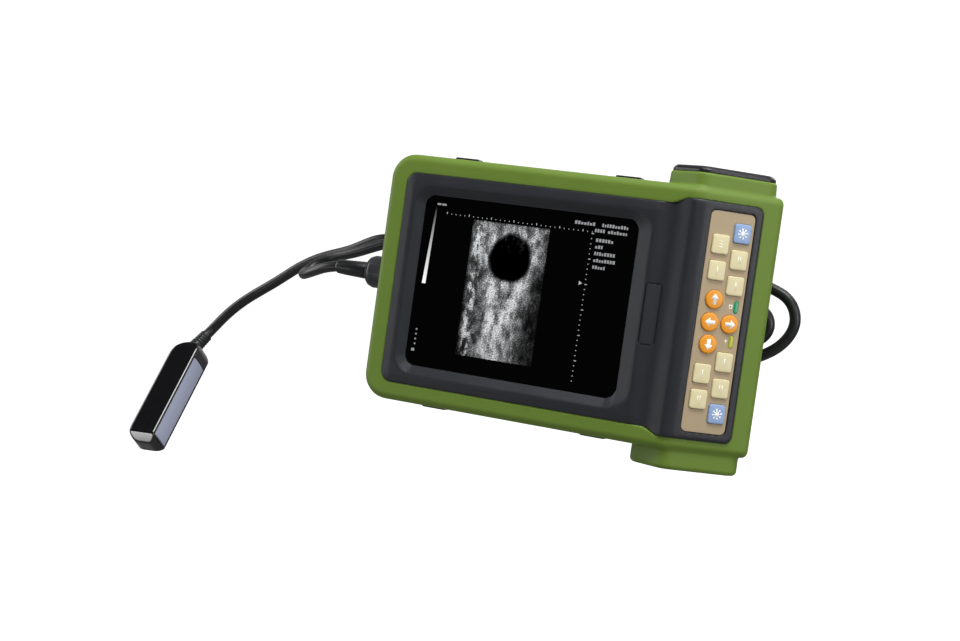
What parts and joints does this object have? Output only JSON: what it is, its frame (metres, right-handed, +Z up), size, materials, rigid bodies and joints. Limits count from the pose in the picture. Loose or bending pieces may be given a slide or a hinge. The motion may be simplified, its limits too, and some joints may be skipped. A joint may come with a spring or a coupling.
{
  "type": "handheld ultrasound scanner",
  "caption": "Handheld ultrasound scanner with a sleeved case, a display window, a sloped keypad, a slide-out battery grip and a corded linear probe.",
  "frame": {"origin": "centre of the flat base under the grip's lower end", "axes": "+Z up along the grip, +X from the screen towards the keys, -Y out of the front face"},
  "size_m": [0.4075, 0.0806, 0.2224],
  "materials": {
    "array_ceramic": "ceramic and backing",
    "battery_plastic": "black case",
    "black_plastic": "satin black",
    "board_green": "solder mask",
    "brass_parts": "plated",
    "buzzer_black": "black",
    "cable_black": "smooth dark jacket",
    "cell_metal": "sleeved cells",
    "charcoal_plastic": "fine textured charcoal plastic",
    "connector_grey": "satin dark grey",
    "display_glass": "display glass",
    "dome_steel": "thin domes",
    "indicator_green": "clear tinted light guides",
    "key_blue": "satin pale blue",
    "key_cream": "satin cream",
    "key_orange": "satin orange",
    "lens_lavender": "soft acoustic window",
    "overlay_beige": "satin beige",
    "plate_plastic": "fine textured plate",
    "probe_gloss": "polished black",
    "ribbon_film": "amber film",
    "screw_steel": "dark steel",
    "seal_foam": "soft black seal",
    "sheet_steel": "plain sheet",
    "sleeve_rubber": "matte moulded green rubber",
    "socket_metal": "nickel plated",
    "window_black": "polished black window"
  },
  "bodies": {
    "case": {"battery_bay": "black_plastic", "battery_contacts": "brass_parts", "board_screws": "screw_steel", "board_spacers": "brass_parts", "buzzer": "buzzer_black", "case_screws": "screw_steel", "display_ribbon": "ribbon_film", "front_end_board": "board_green", "front_end_shield": "sheet_steel", "front_housing": "charcoal_plastic", "indicator_lenses": "indicator_green", "key_board": "board_green", "label_plate": "plate_plastic", "lcd_bracket": "sheet_steel", "lcd_panel": "display_glass", "main_board": "board_green", "membrane_overlay": "overlay_beige", "probe_socket": "socket_metal", "rear_housing": "charcoal_plastic", "rubber_sleeve": "sleeve_rubber", "screen_window": "window_black", "snap_domes": "dome_steel", "socket_nut": "socket_metal", "strap_bars": "black_plastic", "window_gasket": "seal_foam"},
    "key_depth": {"key_depth": "key_cream"},
    "key_down": {"key_down": "key_orange"},
    "key_freeze": {"key_freeze": "key_blue"},
    "key_gain_down": {"key_gain_down": "key_cream"},
    "key_gain_up": {"key_gain_up": "key_cream"},
    "key_left": {"key_left": "key_orange"},
    "key_measure": {"key_measure": "key_cream"},
    "key_menu": {"key_menu": "key_cream"},
    "key_mode": {"key_mode": "key_cream"},
    "key_power": {"key_power": "key_blue"},
    "key_recall": {"key_recall": "key_cream"},
    "key_right": {"key_right": "key_orange"},
    "key_store": {"key_store": "key_cream"},
    "key_up": {"key_up": "key_orange"},
    "battery": {"battery_cap": "black_plastic", "battery_case": "battery_plastic", "battery_cells": "cell_metal", "battery_seal": "seal_foam"},
    "plug": {"probe_plug": "connector_grey", "plug_pins": "brass_parts", "plug_boot": "cable_black", "cable_run": "cable_black"},
    "lock_ring": {"lock_ring": "connector_grey"},
    "cable_bend": {"cable_link": "cable_black"},
    "probe": {"cable_tail": "cable_black", "probe_boot": "cable_black", "probe_housing": "probe_gloss", "probe_lens": "lens_lavender", "transducer_array": "array_ceramic"}
  },
  "joints": [
    {"name": "key_depth_press", "type": "slide", "parent": "case", "child": "key_depth", "axis": [-0.6293, 0.7771, 0], "range_m": [0, 0.0007], "stiffness_N_per_m": 900, "springref_m": -0.0003},
    {"name": "key_down_press", "type": "slide", "parent": "case", "child": "key_down", "axis": [-0.6293, 0.7771, 0], "range_m": [0, 0.0007], "stiffness_N_per_m": 900, "springref_m": -0.0003},
    {"name": "key_freeze_press", "type": "slide", "parent": "case", "child": "key_freeze", "axis": [-0.6293, 0.7771, 0], "range_m": [0, 0.0007], "stiffness_N_per_m": 900, "springref_m": -0.0003},
    {"name": "key_gain_down_press", "type": "slide", "parent": "case", "child": "key_gain_down", "axis": [-0.6293, 0.7771, 0], "range_m": [0, 0.0007], "stiffness_N_per_m": 900, "springref_m": -0.0003},
    {"name": "key_gain_up_press", "type": "slide", "parent": "case", "child": "key_gain_up", "axis": [-0.6293, 0.7771, 0], "range_m": [0, 0.0007], "stiffness_N_per_m": 900, "springref_m": -0.0003},
    {"name": "key_left_press", "type": "slide", "parent": "case", "child": "key_left", "axis": [-0.6293, 0.7771, 0], "range_m": [0, 0.0007], "stiffness_N_per_m": 900, "springref_m": -0.0003},
    {"name": "key_measure_press", "type": "slide", "parent": "case", "child": "key_measure", "axis": [-0.6293, 0.7771, 0], "range_m": [0, 0.0007], "stiffness_N_per_m": 900, "springref_m": -0.0003},
    {"name": "key_menu_press", "type": "slide", "parent": "case", "child": "key_menu", "axis": [-0.6293, 0.7771, 0], "range_m": [0, 0.0007], "stiffness_N_per_m": 900, "springref_m": -0.0003},
    {"name": "key_mode_press", "type": "slide", "parent": "case", "child": "key_mode", "axis": [-0.6293, 0.7771, 0], "range_m": [0, 0.0007], "stiffness_N_per_m": 900, "springref_m": -0.0003},
    {"name": "key_power_press", "type": "slide", "parent": "case", "child": "key_power", "axis": [-0.6293, 0.7771, 0], "range_m": [0, 0.0007], "stiffness_N_per_m": 900, "springref_m": -0.0003},
    {"name": "key_recall_press", "type": "slide", "parent": "case", "child": "key_recall", "axis": [-0.6293, 0.7771, 0], "range_m": [0, 0.0007], "stiffness_N_per_m": 900, "springref_m": -0.0003},
    {"name": "key_right_press", "type": "slide", "parent": "case", "child": "key_right", "axis": [-0.6293, 0.7771, 0], "range_m": [0, 0.0007], "stiffness_N_per_m": 900, "springref_m": -0.0003},
    {"name": "key_store_press", "type": "slide", "parent": "case", "child": "key_store", "axis": [-0.6293, 0.7771, 0], "range_m": [0, 0.0007], "stiffness_N_per_m": 900, "springref_m": -0.0003},
    {"name": "key_up_press", "type": "slide", "parent": "case", "child": "key_up", "axis": [-0.6293, 0.7771, 0], "range_m": [0, 0.0007], "stiffness_N_per_m": 900, "springref_m": -0.0003},
    {"name": "battery_slide", "type": "slide", "parent": "case", "child": "battery", "axis": [0, 0, 1], "range_m": [0, 0.15]},
    {"name": "plug_slide", "type": "slide", "parent": "case", "child": "plug", "axis": [-1, 0, 0], "range_m": [0, 0.016]},
    {"name": "ring_turn", "type": "hinge", "parent": "plug", "child": "lock_ring", "pos_m": [-0.206, -0.012, 0.0855], "axis": [-1, 0, 0], "range_deg": [0, 45]},
    {"name": "cable_swing", "type": "hinge", "parent": "plug", "child": "cable_bend", "pos_m": [-0.3148, 0.029, 0.0622], "axis": [-0.0266, 0.9995, -0.0192], "range_deg": [-28, 28], "stiffness_Nm_per_rad": 0.6},
    {"name": "cable_lift", "type": "hinge", "parent": "cable_bend", "child": "probe", "pos_m": [-0.3382, 0.026, 0.042], "axis": [0.7531, 0.0074, -0.6579], "range_deg": [-28, 28], "stiffness_Nm_per_rad": 0.6}
  ]
}
